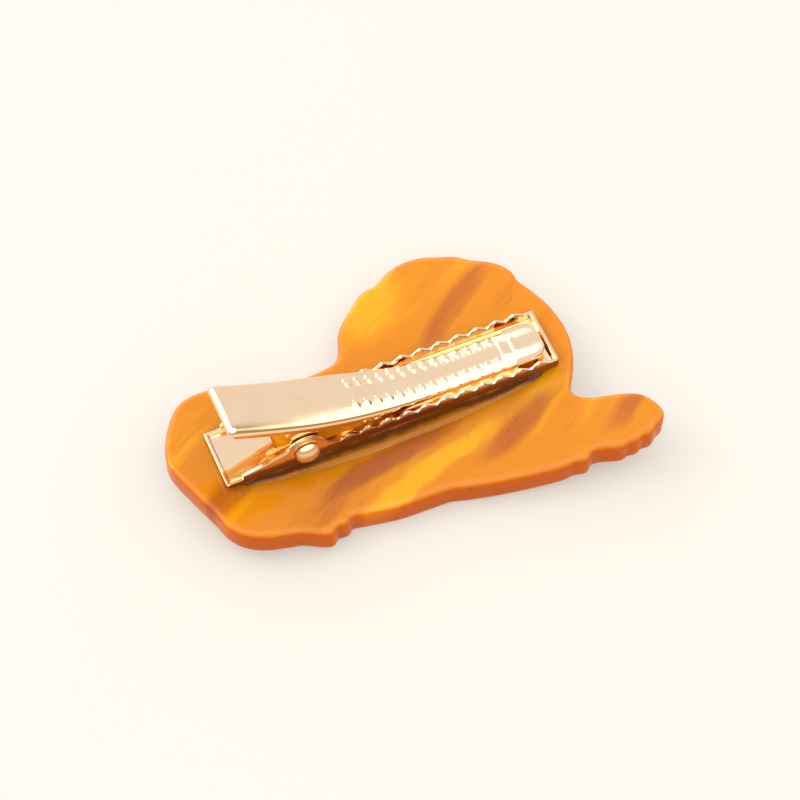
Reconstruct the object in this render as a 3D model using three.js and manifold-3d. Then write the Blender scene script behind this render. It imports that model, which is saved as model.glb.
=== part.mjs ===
// Hair barrette: a bent cellulose-acetate plate with a sprung alligator clip glued to its back.
// Millimetres, +Z up. The plate lies on its decorated face with the clip on top. X runs along the
// clip from its pinched tail (-X) to its nose (+X). Shapes are drawn in the clip's own frame, whose
// origin is the middle of the clip's underside, and the whole assembly is moved at the end so that
// the origin is the middle of the object's footprint, at the height that it rests on.

import * as THREE from 'three';
import { mergeVertices } from 'three/addons/utils/BufferGeometryUtils.js';
import Module from 'manifold-3d';

const wasm = await Module();
wasm.setup();

// ---- driving dimensions (mm) ----
const plateThickness = 4.0;
const bendRadius = 133;          // of the plate's clip side
const bendReach = 34;            // half the length that the bend covers
const bendFacets = 11;           // odd, so that the middle facet is level
const blankReach = 26;           // further than any point of the plate from the clip's axis

const clipLength = 45;
const clipWidth = 8.3;
const sheet = 0.5;               // gauge of the clip's sheet metal
const slack = 0.06;              // clearance between parts that touch
const seatGap = 0.1;             // film of glue under the tray's two ends

const pinX = -11.9;
const pinZ = 2.4;
const pinRadius = 0.8;
const holeRadius = 0.87;
const pinHeadRadius = 1.65;
const pinHeadHeight = 1.15;

const lipHeight = 1.0;           // rim round the tray's tail
const lipEndX = -20.7;
const rampStart = [-20.3, 1.8];  // foot of the sloped wall between the lip and the ear
const wallHeight = 1.65;         // long walls, to the foot of the teeth
const toothHeight = 0.85;
const toothPitch = 2.6;
const toothCount = 11;
const toothRise = 0.46;          // share of the pitch between a foot and the crest tailward of it
const lastFootX = 21.2;          // foot next to the nose
const noseWallHeight = 1.7;
const earRadius = 2.8;
const earSweep = 158;            // degrees of the ear's round top, from its nose side
const windowStart = -15;
const windowEnd = 21;
const windowHalfWidth = 2.4;
const windowCorner = 1.2;

const flangeDepth = 1.5;         // lever's turned-down edge, measured from its top face
const noseCorner = 1.7;
const lugRadius = 1.8;
const lugOuterY = 3.55;          // the lugs swing between the tray's ears
const lugShoulder = 0.9;         // depth of the lugs' tops in the lever's sheet, as a share of it

const ribPitch = 1.5;
const ribCount = 14;
const ribStart = -4.2;
const ribRowY = 1.65;
const ribLength = 1.3;
const ribRadius = 0.4;
const ribProud = 0.2;
const barXs = [16.4, 18.0];      // the two long ribs next to the nose
const barLength = 2.6;

const springWire = 0.7;
const springInner = 0.95;
const springWidth = 4.2;
const springLegX = -16.4;

const glueOverhang = 1.2;        // how far the glue swells past the clip's side at mid length
const glueHalfLength = 20.5;

const halfLength = clipLength / 2;
const halfWidth = clipWidth / 2;
const levelRise = bendRadius - Math.sqrt(bendRadius ** 2 - halfLength ** 2);
const bendSag = seatGap + levelRise;   // gap under the clip's middle

// ---- solids ----
function solid(geometry) {
  geometry.deleteAttribute('normal');
  geometry.deleteAttribute('uv');
  const merged = mergeVertices(geometry, 1e-5);
  const vertProperties = Float32Array.from(merged.attributes.position.array);
  const triVerts = Uint32Array.from(merged.index.array);
  return new wasm.Manifold(new wasm.Mesh({ numProp: 3, vertProperties, triVerts }));
}

function named(name, body, look) {
  const { vertProperties, triVerts } = body.getMesh();
  const geometry = new THREE.BufferGeometry();
  geometry.setAttribute('position', new THREE.BufferAttribute(vertProperties, 3));
  geometry.setIndex(new THREE.BufferAttribute(triVerts, 1));
  geometry.computeVertexNormals();
  const mesh = new THREE.Mesh(geometry, new THREE.MeshStandardMaterial(look));
  mesh.name = name;
  return mesh;
}

function shapeOf(points) {
  return new THREE.Shape(points.map(([a, b]) => new THREE.Vector2(a, b)));
}

// A plan outline (X, Y) raised from z = low to z = high.
function raised(shape, low, high, curveSegments = 6) {
  const options = { depth: high - low, bevelEnabled: false, curveSegments };
  const geometry = new THREE.ExtrudeGeometry(shape, options);
  geometry.translate(0, 0, low);
  return solid(geometry);
}

// A side outline (X, Z) carried across the clip from y = near to y = far.
function across(shape, near, far, curveSegments = 6) {
  const options = { depth: far - near, bevelEnabled: false, curveSegments };
  const geometry = new THREE.ExtrudeGeometry(shape, options);
  geometry.rotateX(Math.PI / 2);
  geometry.translate(0, far, 0);
  return solid(geometry);
}

// A cross-section (Y, Z) carried along the clip from x = -reach to x = reach.
function along(shape, reach) {
  const geometry = new THREE.ExtrudeGeometry(shape, { depth: 2 * reach, bevelEnabled: false });
  geometry.translate(0, 0, -reach);
  geometry.rotateX(Math.PI / 2);
  geometry.rotateZ(Math.PI / 2);
  return solid(geometry);
}

function box(low, high) {
  const size = high.map((value, axis) => value - low[axis]);
  const geometry = new THREE.BoxGeometry(...size);
  geometry.translate(...high.map((value, axis) => (value + low[axis]) / 2));
  return solid(geometry);
}

// A round bar across the clip, centred on y = middle.
function crossBar(x, middle, z, radius, length, sides = 16) {
  const geometry = new THREE.CylinderGeometry(radius, radius, length, sides);
  geometry.translate(x, middle, z);
  return solid(geometry);
}

function unite(bodies) {
  return bodies.reduce((joined, body) => joined.add(body));
}

function ramp(knots) {
  return new THREE.SplineCurve(knots.map(([a, b]) => new THREE.Vector2(a, b)));
}

// ---- acetate plate ----
// The points of the bent surface that lies `below` the plate's clip side.
function bentLine(below) {
  const radius = bendRadius + below;
  const reach = Math.asin(bendReach / bendRadius);
  return Array.from({ length: bendFacets + 1 }, (_, i) => {
    const angle = reach * (2 * i / bendFacets - 1);
    return [radius * Math.sin(angle), bendRadius - bendSag - radius * Math.cos(angle)];
  });
}

// The animal outline, anticlockwise from the tip of the foot. Each list is one smooth stretch, and
// stretches meet at the outline's notches and corners.
const outlineStretches = [
  [[31.4, -16.0], [31.1, -14.4], [29.9, -12.3], [27.5, -10.9], [24.6, -9.8], [22.9, -8.6], [22.5, -7.5]],
  [[22.5, -7.5], [24.0, -5.2], [25.2, -2.6], [25.8, 0.6], [25.4, 4.6], [24.3, 8.0], [23.3, 10.3]],
  [[23.3, 10.3], [23.2, 12.0], [21.8, 14.1], [19.3, 15.9]],
  [[19.3, 15.9], [17.7, 17.4], [15.4, 18.5]],
  [[15.4, 18.5], [13.6, 19.3], [11.2, 19.6], [8.7, 19.1], [6.6, 17.9]],
  [[6.6, 17.9], [4.4, 17.6], [2.6, 16.2]],
  [[2.6, 16.2], [1.0, 14.9], [-0.3, 13.6], [-1.0, 12.4], [-1.7, 10.5], [-2.7, 9.2], [-4.2, 8.8]],
  [[-4.2, 8.8], [-8.0, 8.5], [-12.0, 9.3], [-16.0, 10.4], [-20.4, 11.0], [-23.8, 9.9], [-26.3, 6.9],
    [-27.8, 3.6], [-28.0, 1.2], [-26.6, -3.0], [-25.2, -6.6], [-24.6, -8.6], [-23.3, -10.4],
    [-21.0, -11.7], [-18.2, -12.3], [-16.2, -12.6]],
  [[-16.2, -12.6], [-15.0, -13.2], [-13.6, -13.9], [-12.5, -14.1], [-12.0, -13.7], [-11.9, -13.2]],
  [[-11.9, -13.2], [-10.8, -13.4], [-10.0, -13.3], [-9.7, -12.6]],
  [[-9.7, -12.6], [-6.7, -13.1], [-3.3, -13.6], [0.0, -13.7], [3.3, -13.8]],
  [[3.3, -13.8], [6.2, -14.7], [10.6, -15.8], [15.3, -16.8], [17.8, -17.2]],
  [[17.8, -17.2], [18.6, -17.0], [19.8, -17.5], [20.7, -17.4], [21.0, -16.7]],
  [[21.0, -16.7], [22.4, -17.0], [24.1, -17.8], [25.2, -18.1], [25.5, -17.7]],
  [[25.5, -17.7], [26.5, -18.1], [27.2, -18.1], [27.4, -17.6]],
  [[27.4, -17.6], [28.4, -18.0], [29.3, -17.7], [29.6, -17.2]],
  [[29.6, -17.2], [30.7, -17.0], [31.4, -16.0]],
];

function outlinePoints() {
  return outlineStretches.flatMap((stretch) => {
    const points = ramp(stretch).getPoints(2 * (stretch.length - 1));
    return points.slice(0, -1).map(({ x, y }) => [x, y]);
  });
}

function acetatePlate() {
  const blank = raised(shapeOf(outlinePoints()), -blankReach, blankReach);
  const section = shapeOf([...bentLine(plateThickness), ...bentLine(0).reverse()]);
  return blank.intersect(across(section, -blankReach, blankReach));
}

// ---- clear glue between the plate and the tray ----
function glueBond() {
  const roof = [[glueHalfLength, -slack], [-glueHalfLength, -slack]];
  const floor = bentLine(-slack).filter(([x]) => Math.abs(x) < glueHalfLength);
  const endZ = bendRadius - bendSag - Math.sqrt((bendRadius - slack) ** 2 - glueHalfLength ** 2);
  const ends = [[-glueHalfLength, endZ + slack], [glueHalfLength, endZ + slack]];
  const lens = across(shapeOf([ends[0], ...floor, ends[1], ...roof]), -halfWidth * 2, halfWidth * 2);
  const foot = halfWidth + glueOverhang;
  const swell = shapeOf([[-foot, -bendSag - 1], [foot, -bendSag - 1], [foot, -bendSag],
    [halfWidth, 0], [-halfWidth, 0], [-foot, -bendSag]]);
  return lens.intersect(along(swell, halfLength));
}

// ---- tray: the lower jaw ----
function trayProfile() {
  const shape = new THREE.Shape();
  shape.moveTo(-halfLength, 0);
  shape.lineTo(halfLength, 0);
  shape.lineTo(halfLength, noseWallHeight);
  for (let tooth = 0; tooth < toothCount; tooth += 1) {
    const x = lastFootX - tooth * toothPitch;
    shape.lineTo(x, wallHeight);
    shape.lineTo(x - (1 - toothRise) * toothPitch, wallHeight + toothHeight);
  }
  shape.lineTo(lastFootX - toothCount * toothPitch, wallHeight);
  shape.absarc(pinX, pinZ, earRadius, 0, THREE.MathUtils.degToRad(earSweep), false);
  shape.lineTo(...rampStart);
  shape.lineTo(lipEndX, lipHeight);
  shape.lineTo(-halfLength, lipHeight);
  return shape;
}

function roundedWindow() {
  const [left, right, side, corner] = [windowStart, windowEnd, windowHalfWidth, windowCorner];
  const shape = new THREE.Shape();
  shape.absarc(left + corner, -side + corner, corner, Math.PI, 1.5 * Math.PI, false);
  shape.absarc(right - corner, -side + corner, corner, -0.5 * Math.PI, 0, false);
  shape.absarc(right - corner, side - corner, corner, 0, 0.5 * Math.PI, false);
  shape.absarc(left + corner, side - corner, corner, 0.5 * Math.PI, Math.PI, false);
  return shape;
}

function baseTray() {
  const block = across(trayProfile(), -halfWidth, halfWidth, 8);
  const inner = [halfLength - sheet, halfWidth - sheet];
  const hollow = box([-inner[0], -inner[1], sheet], [...inner, 2 * clipWidth]);
  const opening = raised(roundedWindow(), -2 * sheet, 2 * sheet, 4);
  const pinHole = crossBar(pinX, 0, pinZ, holeRadius, 2 * clipWidth);
  return block.subtract(hollow).subtract(opening).subtract(pinHole);
}

// ---- lever: the upper jaw ----
// The lever's top face as height along X, and half its width along X.
const leverTop = ramp([[-21.5, 12.55], [-18.2, 10.8], [-15.5, 9.45], [-12.2, 7.9], [-8.8, 6.5], [-5.4, 5.25],
  [-2.1, 4.1], [1.3, 3.1], [4.6, 2.4], [8.0, 2.05], [12.0, 1.95], [21.7, 1.95]]);
const leverSide = ramp([[-21.5, 3.75], [-12.2, 3.75], [-8.8, 3.72], [-5.4, 3.62], [-2.1, 3.42], [1.3, 3.12],
  [4.6, 2.88], [8.0, 2.72], [12.0, 2.67], [21.7, 2.67]]);

function leverHeightAt(x) {
  const points = leverTop.getPoints(44);
  const after = points.findIndex((point) => point.x >= x);
  const [a, b] = [points[after - 1], points[after]];
  return a.y + (b.y - a.y) * (x - a.x) / (b.x - a.x);
}

// The band between `upper` and `lower` below the lever's top face, over the lever's whole length,
// drawn past both ends by `past`.
function leverBand(upper, lower, past) {
  const top = leverTop.getPoints(22);
  const edge = (drop, floor) => top.map(({ x, y }, i) => {
    const end = i === 0 ? -past : i === top.length - 1 ? past : 0;
    return [x + end, Math.max(y - drop, floor)];
  });
  const under = edge(lower, sheet + slack);
  return across(shapeOf([...under, ...edge(upper, 0).reverse()]), -clipWidth, clipWidth);
}

// The lever seen from above, drawn in by `inset` all round.
function leverPlan(inset) {
  const side = leverSide.getPoints(10);
  const tail = side[0].x + inset;
  const nose = side.at(-1).x - inset;
  const corner = noseCorner - inset;
  const noseSide = side.at(-1).y - inset;
  const run = side.slice(1, -1).map(({ x, y }) => [x, y - inset]);
  const shape = new THREE.Shape();
  shape.moveTo(tail, -side[0].y + inset);
  run.forEach(([x, y]) => shape.lineTo(x, -y));
  shape.absarc(nose - corner, -noseSide + corner, corner, -0.5 * Math.PI, 0, false);
  shape.absarc(nose - corner, noseSide - corner, corner, 0, 0.5 * Math.PI, false);
  run.reverse().forEach(([x, y]) => shape.lineTo(x, y));
  shape.lineTo(tail, side[0].y - inset);
  return shape;
}

// One side's hinge lug: a round-ended tab that hangs from the lever and swings inside the tray's ear.
function hingeLug(side) {
  const [noseSide, tailSide] = [pinX + lugRadius, pinX - lugRadius];
  const shape = new THREE.Shape();
  shape.moveTo(noseSide, pinZ);
  shape.lineTo(noseSide, leverHeightAt(noseSide) - lugShoulder * sheet);
  shape.lineTo(tailSide, leverHeightAt(tailSide) - lugShoulder * sheet);
  shape.lineTo(tailSide, pinZ);
  shape.absarc(pinX, pinZ, lugRadius, Math.PI, 2 * Math.PI, false);
  const near = side > 0 ? lugOuterY - sheet : -lugOuterY;
  return across(shape, near, near + sheet, 8);
}

function stampedRibs() {
  const sink = ribRadius - ribProud;
  const bumps = [];
  for (let i = 0; i < ribCount; i += 1) {
    const x = ribStart + i * ribPitch;
    for (const y of [-ribRowY, ribRowY]) {
      bumps.push(crossBar(x, y, leverHeightAt(x) - sink, ribRadius, ribLength, 8));
    }
  }
  for (const x of barXs) {
    bumps.push(crossBar(x, 0, leverHeightAt(x) - sink, ribRadius, barLength, 8));
  }
  return unite(bumps);
}

function leverJaw() {
  const skin = leverBand(0, flangeDepth, 1).intersect(raised(leverPlan(0), -5, 20));
  const hollow = leverBand(sheet, flangeDepth + 5, 1).intersect(raised(leverPlan(sheet), -5, 20));
  const pinHole = crossBar(pinX, 0, pinZ, holeRadius, 2 * clipWidth);
  const lugs = unite([hingeLug(-1), hingeLug(1)]).subtract(pinHole);
  return skin.subtract(hollow).add(lugs).add(stampedRibs());
}

// ---- hinge pin, headed at both ends ----
function hingePin() {
  const neck = halfWidth + slack;
  const rings = 4;
  const dome = Array.from({ length: rings + 1 }, (_, i) => {
    const angle = 0.5 * Math.PI * i / rings;
    return [pinHeadRadius * Math.cos(angle), neck + pinHeadHeight * Math.sin(angle)];
  });
  dome[rings][0] = 0;
  const half = [[pinRadius, neck], ...dome];
  const profile = [...half.map(([r, y]) => [r, -y]).reverse(), ...half];
  const geometry = new THREE.LatheGeometry(profile.map(([r, y]) => new THREE.Vector2(r, y)), 16);
  geometry.translate(pinX, 0, pinZ);
  return solid(geometry);
}

// ---- torsion spring: a coil round the pin, with one leg under the lever and one on the tray ----
function springLeg(y, start, end) {
  const [from, to] = [start, end].map(([x, z]) => new THREE.Vector3(x, y, z));
  const extrudePath = new THREE.LineCurve3(from, to);
  const section = new THREE.Shape();
  section.absarc(0, 0, springWire / 2, 0, 2 * Math.PI, false);
  return solid(new THREE.ExtrudeGeometry(section, { steps: 1, curveSegments: 4, extrudePath }));
}

function torsionSpring() {
  const [inner, outer, side] = [springInner, springInner + springWire, springWidth / 2];
  const ring = [[inner, -side], [outer, -side], [outer, side], [inner, side], [inner, -side]];
  const coil = new THREE.LatheGeometry(ring.map(([r, y]) => new THREE.Vector2(r, y)), 16);
  coil.translate(pinX, 0, pinZ);
  const middle = springInner + springWire / 2;
  const legY = side - springWire / 2;
  const upperEnd = leverHeightAt(springLegX) - sheet - springWire;
  const lowerEnd = sheet + springWire / 2 + slack;
  const upper = springLeg(legY, [pinX - 0.5, pinZ + middle], [springLegX, upperEnd]);
  const lower = springLeg(-legY, [pinX - 0.5, pinZ - middle], [springLegX, lowerEnd]);
  return unite([solid(coil), upper, lower]);
}

// ---- assembly ----
const gold = { color: '#efd2a4', roughness: 0.18, metalness: 1 };
const assembly = new THREE.Group();
assembly.add(
  named('acetate_plate', acetatePlate(), { color: '#e58a2c', roughness: 0.2, metalness: 0 }),
  named('glue_bond', glueBond(), { color: '#d98a3c', roughness: 0.1, metalness: 0 }),
  named('base_tray', baseTray(), { ...gold }),
  named('lever_jaw', leverJaw(), { ...gold }),
  named('hinge_pin', hingePin(), { ...gold }),
  named('torsion_spring', torsionSpring(), { ...gold, color: '#e2b45c' }),
);

const extent = new THREE.Box3().setFromObject(assembly);
const middle = extent.getCenter(new THREE.Vector3());
assembly.position.set(-middle.x, -middle.y, -extent.min.z);

const barrette = new THREE.Group();
barrette.add(assembly);

export default barrette;
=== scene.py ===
# Looks for the hair barrette: a marbled cellulose-acetate plate with a sprung clip glued to its back.
# Shapes are drawn in millimetres in the clip's own frame, whose origin is the middle of the tray's
# underside (X from tail to nose, Y away from the camera, Z up), and are placed in the frame's metres.

import math

import bmesh
import bpy
import numpy as np
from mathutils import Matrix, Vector, geometry


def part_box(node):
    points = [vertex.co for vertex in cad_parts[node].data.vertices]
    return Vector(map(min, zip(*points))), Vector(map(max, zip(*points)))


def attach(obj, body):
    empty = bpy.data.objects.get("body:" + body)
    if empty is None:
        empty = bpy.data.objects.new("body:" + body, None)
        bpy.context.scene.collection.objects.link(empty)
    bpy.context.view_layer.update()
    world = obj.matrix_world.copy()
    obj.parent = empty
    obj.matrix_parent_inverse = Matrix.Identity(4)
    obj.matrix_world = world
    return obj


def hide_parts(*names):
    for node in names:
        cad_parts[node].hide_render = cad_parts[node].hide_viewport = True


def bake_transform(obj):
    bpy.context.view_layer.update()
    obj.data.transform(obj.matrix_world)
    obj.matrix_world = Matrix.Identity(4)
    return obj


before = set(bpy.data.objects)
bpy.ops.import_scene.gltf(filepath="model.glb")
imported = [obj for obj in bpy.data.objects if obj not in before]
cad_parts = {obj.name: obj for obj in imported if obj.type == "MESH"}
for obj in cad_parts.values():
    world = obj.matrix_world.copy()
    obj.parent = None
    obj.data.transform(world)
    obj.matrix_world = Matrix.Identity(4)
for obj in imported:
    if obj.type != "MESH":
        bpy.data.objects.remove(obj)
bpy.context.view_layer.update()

MM = 0.001
SHARP_ANGLE = math.radians(38)

# ---- dimensions shared with the CAD model (mm) ----
PLATE_THICKNESS = 4.0
BEND_RADIUS = 133.0
SEAT_GAP = 0.1
HALF_LENGTH = 22.5
HALF_WIDTH = 4.15
SHEET = 0.5
PIN_X = -11.9
PIN_Z = 2.4
BEND_SAG = SEAT_GAP + BEND_RADIUS - math.sqrt(BEND_RADIUS**2 - HALF_LENGTH**2)

tray_low, tray_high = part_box("base_tray")
ORIGIN = Vector(((tray_low.x + tray_high.x) / 2, (tray_low.y + tray_high.y) / 2, tray_low.z))


def place(x, y, z):
    """A point of the clip's frame, in millimetres, as a point of the row frame, in metres."""
    return ORIGIN + Vector((x, y, z)) * MM


# ---- mesh helpers ----
def smoothstep(value, low, high):
    t = min(max((value - low) / (high - low), 0.0), 1.0)
    return t * t * (3 - 2 * t)


def spline(knots, steps):
    """Points along the Catmull-Rom curve through the knots."""
    points = []
    last = len(knots) - 1
    for i in range(last):
        p0, p1 = knots[max(i - 1, 0)], knots[i]
        p2, p3 = knots[i + 1], knots[min(i + 2, last)]
        for step in range(steps):
            t = step / steps
            point = []
            for a, b, c, d in zip(p0, p1, p2, p3):
                v0, v1 = (c - a) / 2, (d - b) / 2
                point.append(
                    (2 * b - 2 * c + v0 + v1) * t**3 + (3 * c - 3 * b - 2 * v0 - v1) * t**2 + v0 * t + b
                )
            points.append(tuple(point))
    points.append(tuple(knots[last]))
    return points


def new_piece(name, points, faces, material, node):
    """A smooth-shaded mesh that stands for a CAD node, not yet riding on a body."""
    mesh = bpy.data.meshes.new(name)
    mesh.from_pydata([place(*point) for point in points], [], faces)
    shell = bmesh.new()
    shell.from_mesh(mesh)
    bmesh.ops.remove_doubles(shell, verts=shell.verts, dist=1e-7)
    bmesh.ops.dissolve_degenerate(shell, edges=shell.edges, dist=1e-8)
    bmesh.ops.recalc_face_normals(shell, faces=shell.faces)
    shell.to_mesh(mesh)
    shell.free()
    mesh.polygons.foreach_set("use_smooth", [True] * len(mesh.polygons))
    mesh.set_sharp_from_angle(angle=SHARP_ANGLE)
    mesh.materials.append(material)
    piece = bpy.data.objects.new(name, mesh)
    bpy.context.scene.collection.objects.link(piece)
    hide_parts(node)
    return piece


def tube(path, radius, sides=14):
    """Points and faces of a round wire along the path, closed at both ends."""
    points, faces = [], []
    up = Vector((0, 1, 0))
    for i, here in enumerate(path):
        before = Vector(path[max(i - 1, 0)])
        after = Vector(path[min(i + 1, len(path) - 1)])
        ahead = (after - before).normalized()
        up = (up - ahead * up.dot(ahead)).normalized()
        side = ahead.cross(up)
        shrink = 0.55 if i in (0, len(path) - 1) else 1.0
        for k in range(sides):
            angle = 2 * math.pi * k / sides
            offset = (up * math.cos(angle) + side * math.sin(angle)) * radius * shrink
            points.append(tuple(Vector(here) + offset))
    for i in range(len(path) - 1):
        for k in range(sides):
            a, b = i * sides + k, i * sides + (k + 1) % sides
            faces.append((a, b, b + sides, a + sides))
    faces.append(tuple(range(sides)))
    faces.append(tuple(range((len(path) - 1) * sides, len(path) * sides)))
    return points, faces


# ---- material helpers ----
class Nodes:
    """A material's node tree, with short calls that make a node and link its inputs."""

    def __init__(self, name):
        self.material = bpy.data.materials.new(name)
        self.material.use_nodes = True
        self.tree = self.material.node_tree
        self.shader = self.tree.nodes["Principled BSDF"]
        source = self.tree.nodes.new("ShaderNodeTexCoord")
        self.coords = source.outputs["Object"]
        self.facing = source.outputs["Normal"]

    def make(self, kind, inputs=None, **settings):
        node = self.tree.nodes.new(kind)
        for key, value in settings.items():
            setattr(node, key, value)
        for key, value in (inputs or {}).items():
            self.set(node.inputs[key], value)
        return node

    def set(self, socket, value):
        if isinstance(value, bpy.types.NodeSocket):
            self.tree.links.new(value, socket)
        else:
            socket.default_value = value

    def math(self, operation, *values):
        inputs = dict(enumerate(values))
        return self.make("ShaderNodeMath", inputs, operation=operation).outputs[0]

    def mapped(self, source, location=(0, 0, 0), turn=0.0, scale=(1, 1, 1), kind="POINT"):
        inputs = {"Vector": source, "Location": location, "Rotation": (0, 0, turn), "Scale": scale}
        return self.make("ShaderNodeMapping", inputs, vector_type=kind).outputs[0]

    def noise(self, source, scale, detail=3.0, roughness=0.5, distortion=0.0):
        inputs = {
            "Vector": source, "Scale": scale, "Detail": detail,
            "Roughness": roughness, "Distortion": distortion,
        }
        return self.make("ShaderNodeTexNoise", inputs)

    def remap(self, value, low, high, out_low=0.0, out_high=1.0, smooth=True):
        inputs = {0: value, 1: low, 2: high, 3: out_low, 4: out_high}
        kind = "SMOOTHSTEP" if smooth else "LINEAR"
        return self.make("ShaderNodeMapRange", inputs, interpolation_type=kind).outputs[0]

    def blend(self, share, first, second):
        node = self.make("ShaderNodeMix", data_type="RGBA")
        self.set(node.inputs[0], share)
        self.set(node.inputs[6], first)
        self.set(node.inputs[7], second)
        return node.outputs[2]

    def bump(self, height, strength, distance, normal=None):
        inputs = {"Height": height, "Strength": strength, "Distance": distance}
        if normal is not None:
            inputs["Normal"] = normal
        return self.make("ShaderNodeBump", inputs).outputs[0]

    def finish(self, **inputs):
        for key, value in inputs.items():
            self.set(self.shader.inputs[key.replace("_", " ")], value)
        return self.material


# ---- materials ----
AMBER = (0.54, 0.184, 0.002, 1)
HONEY = (0.66, 0.300, 0.002, 1)
ROSE_BROWN = (0.34, 0.080, 0.006, 1)
DEEP_BROWN = (0.22, 0.042, 0.003, 1)
EDGE_TONE = (1.00, 0.56, 0.30, 1)      # the sides look deeper, since light travels further through them
# thicker glue beside the tray, darkened further with painted shade from the clip
GLUE_THICK_AND_SHADED = (0.10, 0.024, 0.001, 1)
GLUE_GOLD = (0.40, 0.14, 0.002, 1)
# painted glow: glue under the tray brightened in place of light carried through the acetate
GLUE_PAINTED_GLOW = (0.95, 0.36, 0.003, 1)
PAINTED_WALL_SHADE = (0.28, 0.11, 0.04, 1)      # painted shade: a dark reflection painted on the lower outer faces of the tray's walls
CHAMPAGNE_LIGHT = (0.93, 0.68, 0.37, 1)
CHAMPAGNE_DEEP = (0.90, 0.64, 0.33, 1)
SPRING_LIGHT = (0.90, 0.58, 0.20, 1)
SPRING_DEEP = (0.82, 0.50, 0.15, 1)
RIVET_DULLNESS = 0.24

STREAK_TURN = math.radians(30)

# Bands of the marbling: centre, half length and half width in mm, turn in degrees, and how strongly
# the band shows.
BROWN_BANDS = [
    (-2.0, -6.8, 13.0, 2.0, 10, 1.0),
    (14.5, -9.4, 9.0, 1.9, 22, 0.85),
    (14.0, 10.2, 10.5, 2.1, 33, 0.75),
    (20.5, 8.5, 4.5, 1.4, 40, 0.4),
    (-22.5, -4.5, 5.5, 2.4, 30, 0.75),
    (27.5, -13.3, 6.0, 1.6, 24, 0.5),
    (-13.0, -10.2, 7.0, 2.2, 16, 0.45),
]
BRIGHT_BANDS = [
    (3.0, -10.0, 12.5, 1.7, 16, 1.0),
    (-24.5, 6.0, 6.0, 3.0, 40, 0.35),
    (4.5, 14.5, 7.0, 4.0, 40, 0.8),
    (19.0, -6.5, 6.0, 1.5, 28, 0.7),
]


def marbling(nodes):
    """Colour of the marbled acetate: warped streaks on the slant, with listed bands."""
    in_mm = nodes.mapped(nodes.coords, scale=(1 / MM, 1 / MM, 1 / MM))
    centre = tuple(-value / MM for value in ORIGIN)
    in_clip = nodes.mapped(in_mm, location=centre)
    warp = nodes.noise(in_clip, 0.09, detail=2.0).outputs["Color"]
    centred = nodes.make("ShaderNodeVectorMath", {0: warp, 1: (0.5, 0.5, 0.5)}, operation="SUBTRACT")
    pushed = nodes.make("ShaderNodeVectorMath", {0: centred.outputs[0], 1: (4, 4, 0)}, operation="MULTIPLY")
    added = nodes.make("ShaderNodeVectorMath", {0: in_clip, 1: pushed.outputs[0]}, operation="ADD")
    warped = added.outputs[0]
    slanted = nodes.mapped(warped, turn=-STREAK_TURN)
    along_wide = nodes.mapped(slanted, scale=(0.045, 0.30, 0.12))
    wide = nodes.noise(along_wide, 1.0, detail=2.0).outputs["Fac"]
    along_fine = nodes.mapped(slanted, scale=(0.10, 1.5, 0.5))
    fine = nodes.noise(along_fine, 1.0, detail=4.0, roughness=0.6).outputs["Fac"]

    def bands(table, source):
        total = 0.0
        for x, y, length, width, turn, strength in table:
            size = (length, width, 1000.0)
            local = nodes.mapped(source, (x, y, 0), math.radians(turn), size, kind="TEXTURE")
            reach = nodes.make("ShaderNodeVectorMath", {0: local}, operation="LENGTH").outputs["Value"]
            total = nodes.math("MAXIMUM", total, nodes.remap(reach, 1.25, 0.35, 0.0, strength))
        return total

    streaked = nodes.math("MULTIPLY", nodes.math("SUBTRACT", fine, 0.5), 0.9)
    dark = nodes.math("ADD", bands(BROWN_BANDS, warped), nodes.math("MULTIPLY", streaked, 0.7))
    dark = nodes.math("ADD", dark, nodes.remap(wide, 0.52, 0.72, 0.0, 0.35))
    bright = nodes.math("ADD", bands(BRIGHT_BANDS, warped), nodes.math("MULTIPLY", streaked, 0.9))
    bright = nodes.math("ADD", bright, nodes.remap(wide, 0.50, 0.30, 0.0, 0.5))
    colour = nodes.blend(nodes.remap(bright, 0.1, 1.0), AMBER, HONEY)
    colour = nodes.blend(nodes.remap(dark, 0.12, 1.05, 0.0, 0.92), colour, ROSE_BROWN)
    threads = nodes.remap(fine, 0.62, 0.78, 0.0, 0.35)
    return nodes.blend(threads, colour, DEEP_BROWN), fine


def acetate_material():
    nodes = Nodes("marbled_acetate")
    colour, fine = marbling(nodes)
    upright = nodes.math("ABSOLUTE", nodes.make("ShaderNodeSeparateXYZ", {0: nodes.facing}).outputs[2])
    toned = nodes.make("ShaderNodeMix", data_type="RGBA", blend_type="MULTIPLY")
    nodes.set(toned.inputs[0], nodes.remap(upright, 0.25, 0.75, 1.0, 0.0))
    nodes.set(toned.inputs[6], colour)
    nodes.set(toned.inputs[7], EDGE_TONE)
    shiny = nodes.noise(nodes.coords, 260.0, detail=3.0).outputs["Fac"]
    roughness = nodes.remap(shiny, 0.35, 0.75, 0.10, 0.22)
    wobble = nodes.noise(nodes.coords, 90.0, detail=1.0).outputs["Fac"]
    normal = nodes.bump(wobble, 0.25, 0.0004)
    normal = nodes.bump(fine, 0.04, 0.0002, normal)
    nodes.shader.subsurface_method = "RANDOM_WALK"
    return nodes.finish(
        Base_Color=toned.outputs[2], Roughness=roughness, Normal=normal, IOR=1.44,
        Specular_IOR_Level=nodes.remap(upright, 0.25, 0.75, 0.12, 0.36),
        Subsurface_Weight=0.6, Subsurface_Radius=(1.0, 0.35, 0.08), Subsurface_Scale=0.003,
    )


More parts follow.
